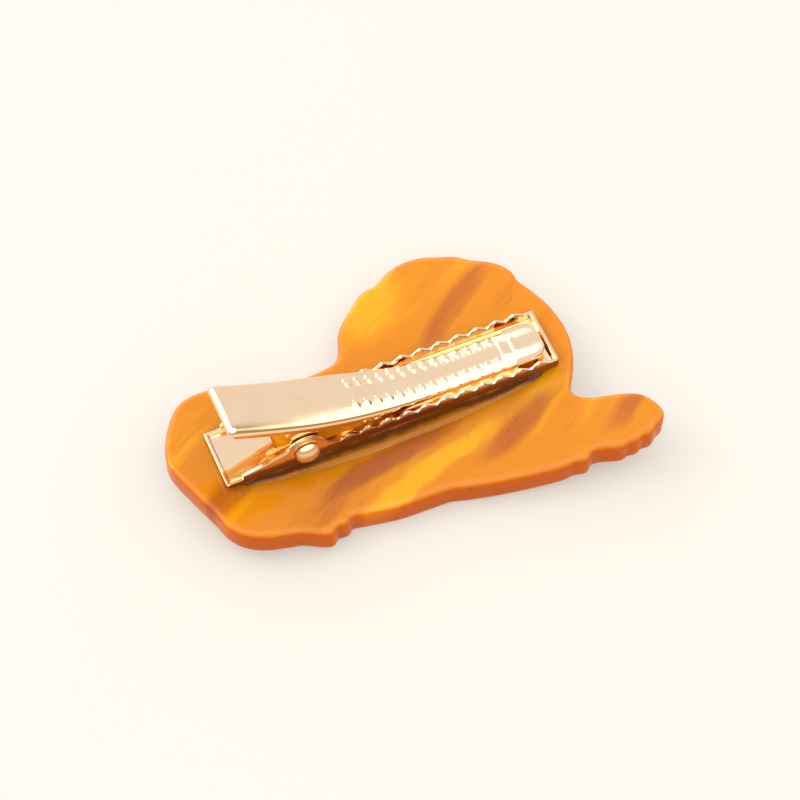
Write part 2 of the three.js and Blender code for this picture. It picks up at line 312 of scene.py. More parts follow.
def glue_material():
    """Set glue: dark amber at the tray's walls, partly thicker glue and partly painted shade from the clip,
    with a painted glow under the tray, clearing to the marbling at its edge.
    """
    nodes = Nodes("clear_glue")
    colour, _ = marbling(nodes)
    split = nodes.make("ShaderNodeSeparateXYZ", {0: nodes.coords})
    from_axis = nodes.math("ABSOLUTE", nodes.math("SUBTRACT", split.outputs[1], ORIGIN.y))
    cloud = nodes.noise(nodes.coords, 500.0, detail=3.0).outputs["Fac"]
    wander = nodes.math("MULTIPLY", nodes.math("SUBTRACT", cloud, 0.5), 0.5 * MM)
    reach = nodes.math("ADD", from_axis, wander)
    golden = nodes.remap(reach, HALF_WIDTH * MM, (HALF_WIDTH + 0.5) * MM)
    clear = nodes.remap(reach, (HALF_WIDTH + 0.7) * MM, (HALF_WIDTH + 1.15) * MM, 0.0, 0.85)
    # Painted glow under the tray, fading to the dark thick glue and painted shade at the walls.
    inside = nodes.remap(reach, (HALF_WIDTH - 0.9) * MM, (HALF_WIDTH - 0.1) * MM, 1.0, 0.0)
    deep = nodes.blend(inside, GLUE_THICK_AND_SHADED, GLUE_PAINTED_GLOW)
    tint = nodes.blend(golden, deep, GLUE_GOLD)
    ripple = nodes.noise(nodes.coords, 420.0, detail=2.0).outputs["Fac"]
    return nodes.finish(
        Base_Color=nodes.blend(clear, tint, colour), Roughness=nodes.remap(cloud, 0.3, 0.8, 0.04, 0.12),
        Normal=nodes.bump(ripple, 0.2, 0.0003), IOR=1.42,
        Specular_IOR_Level=0.3,
    )


def wall_shade_and_dullness(nodes, cloud):
    """How much painted shade darkens a point of the metal, and how much duller it is.

    Only the lower outer faces of the tray's walls get the painted shade, a dark reflection painted
    there, and only the rivet's heads, which stand further out than those walls, are dulled.
    """
    split = nodes.make("ShaderNodeSeparateXYZ", {0: nodes.coords})
    side = nodes.math("ABSOLUTE", nodes.math("SUBTRACT", split.outputs[1], ORIGIN.y))
    reached = nodes.remap(side, (HALF_WIDTH - 0.12) * MM, (HALF_WIDTH - 0.04) * MM)
    beyond = nodes.remap(side, (HALF_WIDTH + 0.02) * MM, (HALF_WIDTH + 0.05) * MM)
    within = nodes.math("SUBTRACT", 1.0, beyond)
    height = nodes.math("ADD", split.outputs[2], nodes.math("MULTIPLY", cloud, 0.8 * MM))
    low = nodes.remap(height, ORIGIN.z + 1.8 * MM, ORIGIN.z + 2.8 * MM, 1.0, 0.0)
    wall_shade = nodes.math("MULTIPLY", nodes.math("MULTIPLY", reached, within), low)
    return wall_shade, nodes.math("MULTIPLY", beyond, RIVET_DULLNESS)


def gold_material(name, base, deep, roughness_low, roughness_high):
    """Polished plated steel: faint rolling waves, smudges and fine rubbing marks along the clip."""
    nodes = Nodes(name)
    smudge = nodes.noise(nodes.coords, 170.0, detail=4.0, roughness=0.6).outputs["Fac"]
    stretched = nodes.mapped(nodes.coords, scale=(160, 1900, 1900))
    rubbed = nodes.noise(stretched, 1.0, detail=3.0).outputs["Fac"]
    colour = nodes.blend(nodes.remap(smudge, 0.35, 0.75), base, deep)
    wall_shade, dull = wall_shade_and_dullness(nodes, smudge)
    # painted shade: a dark reflection painted on the lower outer faces of the tray's walls
    colour = nodes.blend(wall_shade, colour, PAINTED_WALL_SHADE)
    low_rough = nodes.remap(smudge, 0.3, 0.75, roughness_low, roughness_high)
    roughness = nodes.math("ADD", low_rough, nodes.remap(rubbed, 0.55, 0.8, 0.0, 0.05))
    roughness = nodes.math("ADD", roughness, dull)
    wave = nodes.noise(nodes.coords, 130.0, detail=1.0).outputs["Fac"]
    normal = nodes.bump(wave, 0.12, 0.0003)
    normal = nodes.bump(rubbed, 0.03, 0.0001, normal)
    return nodes.finish(Base_Color=colour, Metallic=1.0, Roughness=roughness, Normal=normal)


ACETATE = acetate_material()
GLUE = glue_material()
CHAMPAGNE = gold_material("champagne_gold", CHAMPAGNE_LIGHT, CHAMPAGNE_DEEP, 0.07, 0.13)
SPRING_GOLD = gold_material("spring_gold", SPRING_LIGHT, SPRING_DEEP, 0.12, 0.22)


# ---- acetate plate ----
# The animal outline in plan, anticlockwise from the tip of the foot, as smooth stretches that meet
# at its notches.
OUTLINE_STRETCHES = [
    [(31.4, -16.0), (31.1, -14.4), (29.9, -12.3), (27.5, -10.9), (24.6, -9.8), (22.9, -8.6), (22.5, -7.5)],
    [(22.5, -7.5), (24.0, -5.2), (25.2, -2.6), (25.8, 0.6), (25.4, 4.6), (24.3, 8.0), (23.3, 10.3)],
    [(23.3, 10.3), (23.2, 12.0), (21.8, 14.1), (19.3, 15.9)],
    [(19.3, 15.9), (17.7, 17.4), (15.4, 18.5)],
    [(15.4, 18.5), (13.6, 19.3), (11.2, 19.6), (8.7, 19.1), (6.6, 17.9)],
    [(6.6, 17.9), (4.4, 17.6), (2.6, 16.2)],
    [(2.6, 16.2), (1.0, 14.9), (-0.3, 13.6), (-1.0, 12.4), (-1.7, 10.5), (-2.7, 9.2), (-4.2, 8.8)],
    [(-4.2, 8.8), (-8.0, 8.5), (-12.0, 9.3), (-16.0, 10.4), (-20.4, 11.0), (-23.8, 9.9), (-26.3, 6.9),
     (-27.8, 3.6), (-28.0, 1.2), (-26.6, -3.0), (-25.2, -6.6), (-24.6, -8.6), (-23.3, -10.4),
     (-21.0, -11.7), (-18.2, -12.3), (-16.2, -12.6)],
    [(-16.2, -12.6), (-15.0, -13.2), (-13.6, -13.9), (-12.5, -14.1), (-12.0, -13.7), (-11.9, -13.2)],
    [(-11.9, -13.2), (-10.8, -13.4), (-10.0, -13.3), (-9.7, -12.6)],
    [(-9.7, -12.6), (-6.7, -13.1), (-3.3, -13.6), (0.0, -13.7), (3.3, -13.8)],
    [(3.3, -13.8), (6.2, -14.7), (10.6, -15.8), (15.3, -16.8), (17.8, -17.2)],
    [(17.8, -17.2), (18.6, -17.0), (19.8, -17.5), (20.7, -17.4), (21.0, -16.7)],
    [(21.0, -16.7), (22.4, -17.0), (24.1, -17.8), (25.2, -18.1), (25.5, -17.7)],
    [(25.5, -17.7), (26.5, -18.1), (27.2, -18.1), (27.4, -17.6)],
    [(27.4, -17.6), (28.4, -18.0), (29.3, -17.7), (29.6, -17.2)],
    [(29.6, -17.2), (30.7, -17.0), (31.4, -16.0)],
]
OUTLINE_STEP = 0.32
EDGE_RADIUS = 0.75
EDGE_RINGS = [0.06, 0.16, 0.32, 0.52]
LAST_RING = EDGE_RADIUS + 0.5
GRID_STEP = 1.3
WALL_ROWS = 4


def plate_outline():
    """Evenly spaced points of the outline, its corners slightly softened as by tumbling."""
    dense = []
    for stretch in OUTLINE_STRETCHES:
        dense.extend(spline(stretch, 12)[:-1])
    loop = np.array(dense + dense[:1])
    travel = np.concatenate([[0], np.cumsum(np.hypot(*np.diff(loop, axis=0).T))])
    count = round(travel[-1] / OUTLINE_STEP)
    stations = np.linspace(0, travel[-1], count, endpoint=False)
    points = np.stack([np.interp(stations, travel, loop[:, k]) for k in (0, 1)], axis=1)
    for _ in range(3):
        points = 0.5 * points + 0.25 * (np.roll(points, 1, axis=0) + np.roll(points, -1, axis=0))
    return points


def distance_inside(points, outline):
    """Each point's distance to the outline, negative outside it."""
    start, end = outline, np.roll(outline, -1, axis=0)
    run = end - start
    offset = points[:, None, :] - start[None]
    share = np.clip((offset * run).sum(2) / (run * run).sum(1), 0, 1)
    gap = np.linalg.norm(offset - share[..., None] * run, axis=2).min(1)
    above = (start[None, :, 1] > points[:, None, 1]) != (end[None, :, 1] > points[:, None, 1])
    rise = np.where(run[:, 1] == 0, 1e-12, run[:, 1])
    crossing = start[:, 0] + (points[:, None, 1] - start[:, 1]) * run[:, 0] / rise
    inside = (above & (points[:, None, 0] < crossing)).sum(1) % 2 == 1
    return np.where(inside, gap, -gap)


def plate_height(x, depth):
    """Height of the bent plate's layer that lies `depth` below its clip side."""
    return BEND_RADIUS - BEND_SAG - math.sqrt((BEND_RADIUS + depth) ** 2 - x * x)


def edge_drop(gap, radius=EDGE_RADIUS):
    if gap >= radius:
        return 0.0
    return radius - math.sqrt(max(radius**2 - (radius - max(gap, 0.0)) ** 2, 0.0))


def plan_points(outline):
    """Points of the plate's plan: rings that follow its edge, then an even grid inside them."""
    ahead = np.roll(outline, -1, axis=0) - np.roll(outline, 1, axis=0)
    ahead /= np.linalg.norm(ahead, axis=1)[:, None]
    inward = np.stack([-ahead[:, 1], ahead[:, 0]], axis=1)
    groups = [outline]
    for inset in (*EDGE_RINGS, EDGE_RADIUS, LAST_RING):
        ring = outline + inward * inset
        groups.append(ring[distance_inside(ring, outline) > 0.97 * inset])
    low, high = outline.min(0), outline.max(0)
    columns = np.arange(low[0], high[0], GRID_STEP)
    rows = np.arange(low[1], high[1], GRID_STEP)
    grid = np.stack(np.meshgrid(columns, rows), -1).reshape(-1, 2)
    groups.append(grid[distance_inside(grid, outline) > LAST_RING + 0.7 * GRID_STEP])
    return np.concatenate(groups)


def plate_walls(points, plan, rim):
    """Adds the rows of points down the plate's side, and returns the faces between them."""
    layers = [rim]
    for row in range(1, WALL_ROWS):
        depth = EDGE_RADIUS + (PLATE_THICKNESS - 2 * EDGE_RADIUS) * row / WALL_ROWS
        layers.append(range(len(points), len(points) + len(rim)))
        points.extend((plan[i][0], plan[i][1], plate_height(plan[i][0], depth)) for i in rim)
    layers.append([i + len(plan) for i in rim])
    faces = []
    for upper, lower in zip(layers, layers[1:]):
        for i in range(len(rim)):
            j = (i + 1) % len(rim)
            faces.append((upper[i], upper[j], lower[j], lower[i]))
    return faces


def build_plate():
    outline = plate_outline()
    count = len(outline)
    border = [(i, (i + 1) % count) for i in range(count)]
    flat = [Vector(point) for point in plan_points(outline)]
    made = geometry.delaunay_2d_cdt(flat, border, [], 1, 1e-5)
    plan = np.array([tuple(point) for point in made[0]])
    triangles, sources = made[2], made[3]
    gaps = distance_inside(plan, outline)
    points, faces = [], []
    size = len(plan)
    for depth_of in (lambda drop: drop, lambda drop: PLATE_THICKNESS - drop):
        for (x, y), gap in zip(plan, gaps):
            points.append((x, y, plate_height(x, depth_of(edge_drop(gap)))))
    for a, b, c in triangles:
        faces.append((a, b, c))
        faces.append((a + size, c + size, b + size))
    rim = [i for i, given in enumerate(sources) if any(source < count for source in given)]
    rim.sort(key=lambda i: min(sources[i]))
    faces.extend(plate_walls(points, plan, rim))
    return new_piece("marbled_plate", points, faces, ACETATE, "acetate_plate")


# ---- glue ----
GLUE_HALF_LENGTH = 20.5
GLUE_OVERHANG = 1.15
GLUE_CLEARANCE = 0.04


def build_glue():
    """The bead that fills the gap under the tray and spreads past its sides in a hollow fillet."""
    columns, across = 90, 34
    sections = []
    for i in range(columns + 1):
        x = GLUE_HALF_LENGTH * (2 * i / columns - 1)
        floor = plate_height(x, 0) + GLUE_CLEARANCE
        share = max(1 - (x / GLUE_HALF_LENGTH) ** 2, 0.0)
        reach = HALF_WIDTH - 0.35 + (0.35 + GLUE_OVERHANG) * share**0.45
        upper, lower = [], []
        for j in range(across + 1):
            y = reach * math.sin(math.pi / 2 * (2 * j / across - 1))
            past = max(abs(y) - (HALF_WIDTH - 0.3), 0.0) / max(reach - HALF_WIDTH + 0.3, 0.02)
            lift = max((-GLUE_CLEARANCE - floor), 0.01) * (1 - min(past, 1.0)) ** 2.4
            bead = 0.08 * math.sqrt(max(1 - past**6, 0.0))
            top = floor + max(lift, min(bead, -GLUE_CLEARANCE - floor), 0.004)
            upper.append((x, y, top))
            lower.append((x, y, floor))
        sections.append(upper + lower[::-1])
    size = len(sections[0])
    points = [point for section in sections for point in section]
    faces = []
    for i in range(columns):
        for k in range(size):
            a, b = i * size + k, i * size + (k + 1) % size
            faces.append((a, b, b + size, a + size))
    faces.append(tuple(range(size)))
    faces.append(tuple(range(columns * size, (columns + 1) * size)))
    return new_piece("glue_bead", points, faces, GLUE, "glue_bond")


# ---- pressed sheet metal ----
RIM_CHAMFER = 0.12
BEND_STEPS = 5
WALL_STEPS = 4


def wall_profile(depth, radius):
    """(inset, drop) from the face's edge round the bend, down the wall, under its rim and back inside.

    A depth of one sheet or less means that the face simply ends there, with a softened edge.
    """
    soft = RIM_CHAMFER
    if depth <= SHEET + soft:
        flat = [radius + (soft - radius) * k / (BEND_STEPS - 1) for k in range(BEND_STEPS)]
        outer = [(inset, 0.0) for inset in flat]
        wall = [(0.0, soft + (SHEET - 2 * soft) * k / (WALL_STEPS - 1)) for k in range(WALL_STEPS)]
        steps = WALL_STEPS + BEND_STEPS
        inner = [(soft + (radius - soft) * k / steps, SHEET) for k in range(steps + 1)]
        return outer + wall + inner
    inside = radius - SHEET
    turns = [math.pi / 2 * k / (BEND_STEPS - 1) for k in range(BEND_STEPS)]
    outer = [(radius * (1 - math.sin(turn)), radius * (1 - math.cos(turn))) for turn in turns]
    foot = depth - soft
    wall = [(0.0, radius + (foot - radius) * (k + 1) / WALL_STEPS) for k in range(WALL_STEPS)]
    rim = [(soft, depth), (SHEET - soft, depth)]
    inner_wall = [(SHEET, foot + (radius - foot) * k / WALL_STEPS) for k in range(WALL_STEPS)]
    inner = [(SHEET + inside * (1 - math.sin(turn)), SHEET + inside * (1 - math.cos(turn)))
             for turn in reversed(turns)]
    return outer + wall + rim + inner_wall + inner[:-1]


def corner_fan(start, end, square):
    """Outward directions round a plan corner; a larger `square` makes a crisper corner."""
    fan = []
    for k in range(1, 6):
        angle = math.radians(start + (end - start) * k / 6)
        c, s = math.cos(angle), math.sin(angle)
        reach = (abs(c) ** square + abs(s) ** square) ** (-1 / square)
        fan.append((c * reach, s * reach))
    return fan


def face_grid(columns, rows, edge_at, surface):
    """The face's points, column by column, and the four-sided faces between them."""
    across = len(rows)
    points, faces = [], []
    for x in columns:
        half, _ = edge_at(x)
        points.extend((x, share * half, surface(x, share * half)) for share in rows)
    for i in range(len(columns) - 1):
        for j in range(across - 1):
            here, ahead = i * across + j, (i + 1) * across + j
            faces.append((here, ahead, ahead + 1, here + 1))
    return points, faces


def edge_ring(columns, across, edge_at, depths, square):
    """The stops of a walk round the face's edge: point, outward direction and the wall's depth."""
    side_depth, tail_depth, nose_depth = depths
    far = across - 1
    nose = (len(columns) - 1) * across
    ring = []
    for i, x in enumerate(columns):
        out_x, out_y = edge_at(x)[1]
        ring.append((i * across, (out_x, -out_y), side_depth(x)))
    nose_x, nose_y = edge_at(columns[-1])[1]
    has_corners = nose_y > nose_x
    if has_corners:
        ring.extend((nose, out, nose_depth) for out in corner_fan(-90, 0, square))
    ring.extend((nose + j, (1.0, 0.0), nose_depth) for j in range(across))
    if has_corners:
        ring.extend((nose + far, out, nose_depth) for out in corner_fan(0, 90, square))
    for i in range(len(columns) - 1, -1, -1):
        ring.append((i * across + far, edge_at(columns[i])[1], side_depth(columns[i])))
    ring.extend((far, out, tail_depth) for out in corner_fan(90, 180, square))
    ring.extend((j, (-1.0, 0.0), tail_depth) for j in range(far, -1, -1))
    ring.extend((0, out, tail_depth) for out in corner_fan(180, 270, square))
    return ring


def ring_walls(points, ring, size, sign, radius):
    """Adds the wall's points at each stop of the ring, and returns the faces between the stops."""
    strips = []
    for index, (out_x, out_y), depth in ring:
        x, y, z = points[index]
        strip = [index]
        for inset, drop in wall_profile(depth, radius)[1:]:
            reach = radius - inset
            strip.append(len(points))
            points.append((x + out_x * reach, y + out_y * reach, z + sign * drop))
        strip.append(index + size)
        strips.append(strip)
    faces = []
    for here, after in zip(strips, strips[1:] + strips[:1]):
        for k in range(len(here) - 1):
            face = tuple(dict.fromkeys((here[k], after[k], after[k + 1], here[k + 1])))
            if len(face) > 2:
                faces.append(face)
    return faces


def pressed_shell(columns, rows, edge_at, surface, sign, radius, depths, square):
    """A face with a wall pressed up (sign 1) or down (sign -1) round its edge.

    The face is a grid over `columns` (x) and `rows` (shares of its half width). `edge_at(x)` gives the
    face's half width and the outward direction of its side there, and `surface(x, y)` its height.
    `depths` holds the walls' depths: a function of x for the sides, then the tail's and the nose's.
    """
    points, faces = face_grid(columns, rows, edge_at, surface)
    size = len(points)
    points.extend((x, y, z + sign * SHEET) for x, y, z in points[:size])
    faces.extend(tuple(index + size for index in reversed(face)) for face in faces[:])
    ring = edge_ring(columns, len(rows), edge_at, depths, square)
    faces.extend(ring_walls(points, ring, size, sign, radius))
    return points, faces


def stations(*spans):
    """Increasing x values from (start, end, step) spans."""
    values = []
    for start, end, step in spans:
        count = max(round((end - start) / step), 1)
        values.extend(start + (end - start) * k / count for k in range(count))
    values.append(spans[-1][1])
    return values


# ---- tray ----
TRAY_BEND = 0.62
LIP_HEIGHT = 1.0
NOSE_WALL = 1.7
TOOTH_PITCH = 2.6
TOOTH_COUNT = 11
TOOTH_LOW = 1.65
TOOTH_HIGH = 2.5
TOOTH_RISE = 0.46
LAST_FOOT = 21.2
FIRST_FOOT = LAST_FOOT - TOOTH_COUNT * TOOTH_PITCH
EAR_RADIUS = 2.8
EAR_SWEEP = math.radians(158)
EAR_START = (PIN_X + EAR_RADIUS * math.cos(EAR_SWEEP), PIN_Z + EAR_RADIUS * math.sin(EAR_SWEEP))
EAR_END = PIN_X + EAR_RADIUS
RAMP_START = (-20.3, 1.8)
WINDOW = (-15.0, 21.0, 2.4, 1.2)


def tray_wall(x):
    """Height of the tray's long walls: lip, ramp, ear round the pin, and the teeth."""
    if x < RAMP_START[0] - 0.05:
        return LIP_HEIGHT
    if x < EAR_START[0]:
        share = (x - RAMP_START[0]) / (EAR_START[0] - RAMP_START[0])
        return RAMP_START[1] + (EAR_START[1] - RAMP_START[1]) * max(share, 0.0)
    if x < EAR_END:
        return PIN_Z + math.sqrt(max(EAR_RADIUS**2 - (x - PIN_X) ** 2, 0.0))
    if x < FIRST_FOOT:
        return PIN_Z + (TOOTH_LOW - PIN_Z) * (x - EAR_END) / (FIRST_FOOT - EAR_END)
    if x > LAST_FOOT:
        return NOSE_WALL
    phase = ((LAST_FOOT - x) / TOOTH_PITCH) % 1.0
    fall = 1 - TOOTH_RISE
    edge = phase / fall if phase < fall else (1 - phase) / TOOTH_RISE
    rounded = 0.45 * edge + 0.55 * smoothstep(edge, 0.0, 1.0)
    return TOOTH_LOW + (TOOTH_HIGH - TOOTH_LOW) * rounded


def window_cutter():
    """A rounded upright prism where the tray's floor is punched out."""
    left, right, half, corner = WINDOW
    loop = []
    for centre_x, centre_y, first in (
        (right - corner, half - corner, 0), (left + corner, half - corner, 90),
        (left + corner, -half + corner, 180), (right - corner, -half + corner, 270),
    ):
        for k in range(9):
            angle = math.radians(first + 90 * k / 8)
            loop.append((centre_x + corner * math.cos(angle), centre_y + corner * math.sin(angle)))
    count = len(loop)
    points = [(x, y, z) for z in (-1.0, 1.5) for x, y in loop]
    faces = [tuple(reversed(range(count))), tuple(range(count, 2 * count))]
    faces += [(k, (k + 1) % count, (k + 1) % count + count, k + count) for k in range(count)]
    mesh = bpy.data.meshes.new("window_cutter")
    mesh.from_pydata([place(*point) for point in points], [], faces)
    cutter = bpy.data.objects.new("window_cutter", mesh)
    bpy.context.scene.collection.objects.link(cutter)
    return cutter


def build_tray():
    start, end = -HALF_LENGTH + TRAY_BEND, HALF_LENGTH - TRAY_BEND
    fine = 0.13
    ramp, ear = RAMP_START[0], EAR_START[0]
    columns = stations(
        (start, ramp - 0.1, 0.4), (ramp - 0.1, ramp, 0.05), (ramp, ear, 0.4),
        (ear, EAR_END - 0.5, 0.2), (EAR_END - 0.5, EAR_END, 0.05), (EAR_END, FIRST_FOOT, 0.2),
        (FIRST_FOOT, LAST_FOOT, fine), (LAST_FOOT, end, 0.2))
    rows = [2 * k / 8 - 1 for k in range(9)]
    half = HALF_WIDTH - TRAY_BEND
    points, faces = pressed_shell(
        columns, rows, lambda x: (half, (0.0, 1.0)), lambda x, y: 0.0, 1, TRAY_BEND,
        (tray_wall, LIP_HEIGHT, NOSE_WALL), 6)
    tray = new_piece("clip_tray", points, faces, CHAMPAGNE, "base_tray")
    cutter = window_cutter()
    cut = tray.modifiers.new("window", "BOOLEAN")
    cut.operation = "DIFFERENCE"
    cut.solver = "EXACT"
    cut.object = cutter
    depsgraph = bpy.context.evaluated_depsgraph_get()
    opened = bpy.data.meshes.new_from_object(tray.evaluated_get(depsgraph))
    tray.modifiers.clear()
    tray.data = opened
    opened.set_sharp_from_angle(angle=SHARP_ANGLE)
    bpy.data.objects.remove(cutter)
    return tray


# ---- lever ----
LEVER_TOP = [
    (-21.5, 12.55), (-18.2, 10.8), (-15.5, 9.45), (-12.2, 7.9), (-8.8, 6.5), (-5.4, 5.25),
    (-2.1, 4.1), (1.3, 3.1), (4.6, 2.4), (8.0, 2.05), (12.0, 1.95), (21.7, 1.95),
]
LEVER_SIDE = [
    (-21.5, 3.75), (-12.2, 3.75), (-8.8, 3.72), (-5.4, 3.62), (-2.1, 3.42), (1.3, 3.12),
    (4.6, 2.88), (8.0, 2.72), (12.0, 2.67), (21.7, 2.67),
]
LEVER_CROWNS = (0.26, 0.24)     # how far the face's middle stands above its sides, at the tail and nose
LUG_OUTER_Y = 3.55
LUG_RADIUS = 1.8
LUG_SHOULDER = 0.45
LEVER_BEND = 0.72
LEVER_TAIL = -21.5
LEVER_NOSE = 21.7
NOSE_CORNER = 1.7
FLANGE_DEPTH = 1.5
FLANGE_END = 17.5
TAIL_LIP = 1.0
RIB_PITCH = 1.5
RIB_COUNT = 14
RIB_START = -4.2
RIB_ROW_Y = 1.65
RIB_HALF_LENGTH = 0.85
RIB_HALF_WIDTH = 0.48
RIB_PROUD = 0.15
RIB_LEAN = 0.7
BAR_PROUD = 0.15
BAR_XS = (16.4, 18.0)
BAR_HALF_LENGTH = 1.35


def smooth_curve(knots):
    """Dense (x, value) arrays of the knots' spline, with its kinks in curvature evened out."""
    dense = np.array(spline(knots, 20))
    xs = np.linspace(knots[0][0], knots[-1][0], 500)
    values = np.interp(xs, dense[:, 0], dense[:, 1])
    for _ in range(120):
        values[1:-1] = 0.5 * values[1:-1] + 0.25 * (values[2:] + values[:-2])
    return xs, values


TOP_CURVE = smooth_curve(LEVER_TOP)
SIDE_CURVE = smooth_curve(LEVER_SIDE)


def rib_lift(x, y):
    """How far the stamped ribs stand up at a point of the lever's face.

    A rib of the two rows climbs gently from its near end and is highest towards its far end.
    """
    nearest = round((x - RIB_START) / RIB_PITCH)
    if 0 <= nearest < RIB_COUNT:
        along = (x - RIB_START - nearest * RIB_PITCH) / RIB_HALF_WIDTH
        across = (y - math.copysign(RIB_ROW_Y, y)) / RIB_HALF_LENGTH
        dome = max(1 - along**2 - across**2, 0.0)
        return RIB_PROUD * dome * (1 + RIB_LEAN * across)
    lift = 0.0
    for bar in BAR_XS:
        along = (x - bar) / RIB_HALF_WIDTH
        across = max(abs(y) - BAR_HALF_LENGTH + RIB_HALF_WIDTH, 0.0) / RIB_HALF_WIDTH
        lift = max(lift, 1 - along**2 - across**2)
    return BAR_PROUD * smoothstep(lift, 0.0, 1.0)


def lever_height(x):
    return float(np.interp(x, *TOP_CURVE))


def lever_surface(x, y):
    """Height of the lever's slightly crowned face, ribs included."""
    half = float(np.interp(x, *SIDE_CURVE))
    crown = LEVER_CROWNS[0] + (LEVER_CROWNS[1] - LEVER_CROWNS[0]) * smoothstep(x, -14.0, 2.0)
    return lever_height(x) - crown * (y / half) ** 2 + rib_lift(x, y)


def lever_edge(x):
    """The lever face's half width and the outward direction of its side at x."""
    half = float(np.interp(x, *SIDE_CURVE)) - LEVER_BEND
    corner = NOSE_CORNER - LEVER_BEND
    centre = LEVER_NOSE - NOSE_CORNER
    if x <= centre:
        return half, (0.0, 1.0)
    share = min((x - centre) / corner, 1.0)
    rise = math.sqrt(max(1 - share * share, 0.0))
    return half - corner + corner * rise, (share, rise)


def lever_flange(x):
    return FLANGE_DEPTH if x < FLANGE_END else SHEET


def build_lever():
    corner = NOSE_CORNER - LEVER_BEND
    centre = LEVER_NOSE - NOSE_CORNER
    fine = 0.12
    columns = stations(
        (LEVER_TAIL + LEVER_BEND, RIB_START - 0.6, 0.45), (RIB_START - 0.6, FLANGE_END - 0.05, fine),
        (FLANGE_END - 0.05, FLANGE_END, 0.05), (FLANGE_END, 18.6, fine), (18.6, centre, 0.3))
    columns += [centre + corner * math.sin(math.pi / 2 * k / 10) for k in range(1, 11)]
    rows = [2 * k / 44 - 1 for k in range(45)]
    points, faces = pressed_shell(
        columns, rows, lever_edge, lever_surface, -1, LEVER_BEND,
        (lever_flange, TAIL_LIP, SHEET), 3)
    for side in (-1, 1):
        add_lug(points, faces, side)
    return new_piece("clip_lever", points, faces, CHAMPAGNE, "lever_jaw")


def add_lug(points, faces, side):
    """A round-ended tab that hangs from the lever's underside and swings inside the tray's ear."""
    tail_side, nose_side = PIN_X - LUG_RADIUS, PIN_X + LUG_RADIUS
    loop = [(nose_side, lever_height(nose_side) - LUG_SHOULDER), (nose_side, PIN_Z)]
    for degrees in range(15, 180, 15):
        angle = math.radians(degrees)
        loop.append((PIN_X + LUG_RADIUS * math.cos(angle), PIN_Z - LUG_RADIUS * math.sin(angle)))
    loop += [(tail_side, PIN_Z), (tail_side, lever_height(tail_side) - LUG_SHOULDER)]
    start = len(points)
    count = len(loop)
    for y in (side * LUG_OUTER_Y, side * (LUG_OUTER_Y - SHEET)):
        points.extend((x, y, z) for x, z in loop)
    faces.append(tuple(range(start, start + count)))
    faces.append(tuple(reversed(range(start + count, start + 2 * count))))
    for k in range(count):
        j = (k + 1) % count
        faces.append((start + k, start + j, start + j + count, start + k + count))


# ---- pin ----
PIN_RADIUS = 0.8
PIN_HEAD_RADIUS = 1.65
PIN_HEAD_HEIGHT = 1.15
PIN_NECK = HALF_WIDTH + 0.06


def build_pin():
    """A rivet with a domed head at each end."""
    sides = 40
    dome = [(PIN_HEAD_RADIUS - 0.1, PIN_NECK), (PIN_HEAD_RADIUS, PIN_NECK + 0.1)]
    for k in range(1, 12):
        angle = math.pi / 2 * k / 12
        rise = 0.1 + (PIN_HEAD_HEIGHT - 0.1) * math.sin(angle)
        dome.append((PIN_HEAD_RADIUS * math.cos(angle), PIN_NECK + rise))
    half = [(PIN_RADIUS, PIN_NECK), *dome]
    profile = [(r, -y) for r, y in reversed(half)] + half
    points = []
    for r, y in profile:
        for k in range(sides):
            angle = 2 * math.pi * k / sides
            points.append((PIN_X + r * math.cos(angle), y, PIN_Z + r * math.sin(angle)))
    tips = [len(points), len(points) + 1]
    reach = PIN_NECK + PIN_HEAD_HEIGHT
    points += [(PIN_X, -reach, PIN_Z), (PIN_X, reach, PIN_Z)]
    faces = []
    for i in range(len(profile) - 1):
        for k in range(sides):
            j = (k + 1) % sides
            faces.append((i * sides + k, i * sides + j, (i + 1) * sides + j, (i + 1) * sides + k))
    end = (len(profile) - 1) * sides
    for k in range(sides):
        j = (k + 1) % sides
        faces.append((tips[0], j, k))
        faces.append((tips[1], end + k, end + j))
    return new_piece("hinge_rivet", points, faces, CHAMPAGNE, "hinge_pin")


# ---- spring ----
SPRING_WIRE = 0.7
SPRING_MIDDLE = 1.3
SPRING_HALF_WIDTH = 1.75
SPRING_TURNS = 4
SPRING_STEPS = 150
SPRING_LEG_X = -16.4
LEG_STEPS = 8


def build_spring():
    """A torsion coil round the pin: one leg presses on the tray's floor, one under the lever."""
    lower_end = (SPRING_LEG_X, SHEET + SPRING_WIRE / 2 + 0.06)
    upper_end = (SPRING_LEG_X, lever_height(SPRING_LEG_X) - SHEET - SPRING_WIRE / 2 - 0.25)
    first = math.radians(-88)
    final = math.radians(38) + 2 * math.pi * SPRING_TURNS
    path = []
    for k in range(SPRING_STEPS + 1):
        share = k / SPRING_STEPS
        angle = first + (final - first) * share
        y = -SPRING_HALF_WIDTH + 2 * SPRING_HALF_WIDTH * share
        path.append((PIN_X + SPRING_MIDDLE * math.cos(angle), y, PIN_Z + SPRING_MIDDLE * math.sin(angle)))
    lower = [(lower_end[0] + (path[0][0] - lower_end[0]) * k / LEG_STEPS, -SPRING_HALF_WIDTH,
              lower_end[1] + (path[0][2] - lower_end[1]) * k / LEG_STEPS) for k in range(LEG_STEPS)]
    upper = [(path[-1][0] + (upper_end[0] - path[-1][0]) * k / LEG_STEPS, SPRING_HALF_WIDTH,
              path[-1][2] + (upper_end[1] - path[-1][2]) * k / LEG_STEPS) for k in range(1, LEG_STEPS + 1)]
    points, faces = tube(lower + path + upper, SPRING_WIRE / 2)
    return new_piece("coil_spring", points, faces, SPRING_GOLD, "torsion_spring")


